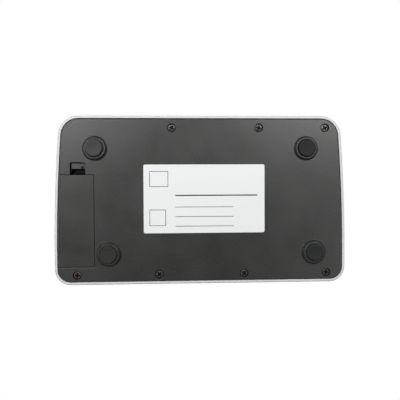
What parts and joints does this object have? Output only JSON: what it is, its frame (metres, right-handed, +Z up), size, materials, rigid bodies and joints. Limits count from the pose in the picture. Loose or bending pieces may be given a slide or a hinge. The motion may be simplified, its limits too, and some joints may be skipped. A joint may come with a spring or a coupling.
{
  "type": "refreshable braille display",
  "caption": "Portable braille display: a line of braille cells with routing, dot, space and thumb keys in a screwed two-part case on stepped feet, with a battery cover.",
  "frame": {"origin": "middle of the footprint, on the surface that the four foot pads stand on", "axes": "+Z up out of the key deck, -Y towards the reader, +X to the reader's right"},
  "size_m": [0.1682, 0.0968, 0.0245],
  "materials": {
    "upper_shell": "pale satin moulded shell",
    "lower_shell": "black satin moulding with a fine grain",
    "battery_cover": "black satin moulding",
    "battery_pack": "shrink sleeve",
    "terminal": "moulded block",
    "foot_pads": "soft dull rubber",
    "screws": "blackened steel",
    "circuit_board": "green solder mask",
    "cells": "smooth ivory moulding",
    "dot_keys": "dark satin key caps",
    "thumb_keys": "dark satin key caps",
    "routing_keys": "grey satin buttons",
    "socket": "bright plated steel",
    "switch_knob": "black knob",
    "label": "white coated sticker"
  },
  "bodies": {
    "case": {"upper_case": "upper_shell", "lower_case": "lower_shell", "battery_pack": "battery_pack", "battery_terminal": "terminal", "foot_rear_right": "foot_pads", "foot_rear_left": "foot_pads", "foot_front_right": "foot_pads", "foot_front_left": "foot_pads", "case_screw_1": "screws", "case_screw_2": "screws", "case_screw_3": "screws", "case_screw_4": "screws", "case_screw_5": "screws", "case_screw_6": "screws", "case_screw_7": "screws", "main_board": "circuit_board", "key_board": "circuit_board", "thumb_board": "circuit_board", "cell_bank": "cells", "usb_socket": "socket", "power_switch_body": "socket", "rating_label": "label"},
    "dot_key_1": {"dot_key_1": "dot_keys"},
    "dot_key_2": {"dot_key_2": "dot_keys"},
    "dot_key_3": {"dot_key_3": "dot_keys"},
    "dot_key_4": {"dot_key_4": "dot_keys"},
    "dot_key_5": {"dot_key_5": "dot_keys"},
    "dot_key_6": {"dot_key_6": "dot_keys"},
    "dot_key_7": {"dot_key_7": "dot_keys"},
    "dot_key_8": {"dot_key_8": "dot_keys"},
    "space_bar": {"space_bar": "dot_keys"},
    "thumb_key_left_inner": {"thumb_key_left_inner": "thumb_keys"},
    "thumb_key_left_outer": {"thumb_key_left_outer": "thumb_keys"},
    "thumb_key_right_inner": {"thumb_key_right_inner": "thumb_keys"},
    "thumb_key_right_outer": {"thumb_key_right_outer": "thumb_keys"},
    "routing_key_01": {"routing_key_01": "routing_keys"},
    "routing_key_02": {"routing_key_02": "routing_keys"},
    "routing_key_03": {"routing_key_03": "routing_keys"},
    "routing_key_04": {"routing_key_04": "routing_keys"},
    "routing_key_05": {"routing_key_05": "routing_keys"},
    "routing_key_06": {"routing_key_06": "routing_keys"},
    "routing_key_07": {"routing_key_07": "routing_keys"},
    "routing_key_08": {"routing_key_08": "routing_keys"},
    "routing_key_09": {"routing_key_09": "routing_keys"},
    "routing_key_10": {"routing_key_10": "routing_keys"},
    "routing_key_11": {"routing_key_11": "routing_keys"},
    "routing_key_12": {"routing_key_12": "routing_keys"},
    "routing_key_13": {"routing_key_13": "routing_keys"},
    "routing_key_14": {"routing_key_14": "routing_keys"},
    "routing_key_15": {"routing_key_15": "routing_keys"},
    "routing_key_16": {"routing_key_16": "routing_keys"},
    "routing_key_17": {"routing_key_17": "routing_keys"},
    "routing_key_18": {"routing_key_18": "routing_keys"},
    "routing_key_19": {"routing_key_19": "routing_keys"},
    "routing_key_20": {"routing_key_20": "routing_keys"},
    "power_switch_knob": {"power_switch_knob": "switch_knob"},
    "battery_cover": {"battery_cover": "battery_cover"}
  },
  "joints": [
    {"name": "battery_cover_hinge", "type": "hinge", "parent": "case", "child": "battery_cover", "pos_m": [0.0717, -0.03787, 0.003], "axis": [-1, 0, 0], "range_deg": [0, 30]},
    {"name": "power_switch_slide", "type": "slide", "parent": "case", "child": "power_switch_knob", "axis": [1, 0, 0], "range_m": [0, 0.003]},
    {"name": "space_bar_press", "type": "slide", "parent": "case", "child": "space_bar", "axis": [0, 0, -1], "range_m": [0, 0.001], "stiffness_N_per_m": 300},
    {"name": "thumb_key_left_inner_press", "type": "slide", "parent": "case", "child": "thumb_key_left_inner", "axis": [0, 1, 0], "range_m": [0, 0.001], "stiffness_N_per_m": 120},
    {"name": "thumb_key_left_outer_press", "type": "slide", "parent": "case", "child": "thumb_key_left_outer", "axis": [0, 1, 0], "range_m": [0, 0.001], "stiffness_N_per_m": 120},
    {"name": "thumb_key_right_inner_press", "type": "slide", "parent": "case", "child": "thumb_key_right_inner", "axis": [0, 1, 0], "range_m": [0, 0.001], "stiffness_N_per_m": 120},
    {"name": "thumb_key_right_outer_press", "type": "slide", "parent": "case", "child": "thumb_key_right_outer", "axis": [0, 1, 0], "range_m": [0, 0.001], "stiffness_N_per_m": 120},
    {"name": "dot_key_1_press", "type": "slide", "parent": "case", "child": "dot_key_1", "axis": [0, 0, -1], "range_m": [0, 0.001], "stiffness_N_per_m": 250},
    {"name": "dot_key_2_press", "type": "slide", "parent": "case", "child": "dot_key_2", "axis": [0, 0, -1], "range_m": [0, 0.001], "stiffness_N_per_m": 250},
    {"name": "dot_key_3_press", "type": "slide", "parent": "case", "child": "dot_key_3", "axis": [0, 0, -1], "range_m": [0, 0.001], "stiffness_N_per_m": 250},
    {"name": "dot_key_4_press", "type": "slide", "parent": "case", "child": "dot_key_4", "axis": [0, 0, -1], "range_m": [0, 0.001], "stiffness_N_per_m": 250},
    {"name": "dot_key_5_press", "type": "slide", "parent": "case", "child": "dot_key_5", "axis": [0, 0, -1], "range_m": [0, 0.001], "stiffness_N_per_m": 250},
    {"name": "dot_key_6_press", "type": "slide", "parent": "case", "child": "dot_key_6", "axis": [0, 0, -1], "range_m": [0, 0.001], "stiffness_N_per_m": 250},
    {"name": "dot_key_7_press", "type": "slide", "parent": "case", "child": "dot_key_7", "axis": [0, 0, -1], "range_m": [0, 0.001], "stiffness_N_per_m": 250},
    {"name": "dot_key_8_press", "type": "slide", "parent": "case", "child": "dot_key_8", "axis": [0, 0, -1], "range_m": [0, 0.001], "stiffness_N_per_m": 250},
    {"name": "routing_key_01_press", "type": "slide", "parent": "case", "child": "routing_key_01", "axis": [0, 0, -1], "range_m": [0, 0.001], "stiffness_N_per_m": 25},
    {"name": "routing_key_02_press", "type": "slide", "parent": "case", "child": "routing_key_02", "axis": [0, 0, -1], "range_m": [0, 0.001], "stiffness_N_per_m": 25},
    {"name": "routing_key_03_press", "type": "slide", "parent": "case", "child": "routing_key_03", "axis": [0, 0, -1], "range_m": [0, 0.001], "stiffness_N_per_m": 25},
    {"name": "routing_key_04_press", "type": "slide", "parent": "case", "child": "routing_key_04", "axis": [0, 0, -1], "range_m": [0, 0.001], "stiffness_N_per_m": 25},
    {"name": "routing_key_05_press", "type": "slide", "parent": "case", "child": "routing_key_05", "axis": [0, 0, -1], "range_m": [0, 0.001], "stiffness_N_per_m": 25},
    {"name": "routing_key_06_press", "type": "slide", "parent": "case", "child": "routing_key_06", "axis": [0, 0, -1], "range_m": [0, 0.001], "stiffness_N_per_m": 25},
    {"name": "routing_key_07_press", "type": "slide", "parent": "case", "child": "routing_key_07", "axis": [0, 0, -1], "range_m": [0, 0.001], "stiffness_N_per_m": 25},
    {"name": "routing_key_08_press", "type": "slide", "parent": "case", "child": "routing_key_08", "axis": [0, 0, -1], "range_m": [0, 0.001], "stiffness_N_per_m": 25},
    {"name": "routing_key_09_press", "type": "slide", "parent": "case", "child": "routing_key_09", "axis": [0, 0, -1], "range_m": [0, 0.001], "stiffness_N_per_m": 25},
    {"name": "routing_key_10_press", "type": "slide", "parent": "case", "child": "routing_key_10", "axis": [0, 0, -1], "range_m": [0, 0.001], "stiffness_N_per_m": 25},
    {"name": "routing_key_11_press", "type": "slide", "parent": "case", "child": "routing_key_11", "axis": [0, 0, -1], "range_m": [0, 0.001], "stiffness_N_per_m": 25},
    {"name": "routing_key_12_press", "type": "slide", "parent": "case", "child": "routing_key_12", "axis": [0, 0, -1], "range_m": [0, 0.001], "stiffness_N_per_m": 25},
    {"name": "routing_key_13_press", "type": "slide", "parent": "case", "child": "routing_key_13", "axis": [0, 0, -1], "range_m": [0, 0.001], "stiffness_N_per_m": 25},
    {"name": "routing_key_14_press", "type": "slide", "parent": "case", "child": "routing_key_14", "axis": [0, 0, -1], "range_m": [0, 0.001], "stiffness_N_per_m": 25},
    {"name": "routing_key_15_press", "type": "slide", "parent": "case", "child": "routing_key_15", "axis": [0, 0, -1], "range_m": [0, 0.001], "stiffness_N_per_m": 25},
    {"name": "routing_key_16_press", "type": "slide", "parent": "case", "child": "routing_key_16", "axis": [0, 0, -1], "range_m": [0, 0.001], "stiffness_N_per_m": 25},
    {"name": "routing_key_17_press", "type": "slide", "parent": "case", "child": "routing_key_17", "axis": [0, 0, -1], "range_m": [0, 0.001], "stiffness_N_per_m": 25},
    {"name": "routing_key_18_press", "type": "slide", "parent": "case", "child": "routing_key_18", "axis": [0, 0, -1], "range_m": [0, 0.001], "stiffness_N_per_m": 25},
    {"name": "routing_key_19_press", "type": "slide", "parent": "case", "child": "routing_key_19", "axis": [0, 0, -1], "range_m": [0, 0.001], "stiffness_N_per_m": 25},
    {"name": "routing_key_20_press", "type": "slide", "parent": "case", "child": "routing_key_20", "axis": [0, 0, -1], "range_m": [0, 0.001], "stiffness_N_per_m": 25}
  ]
}
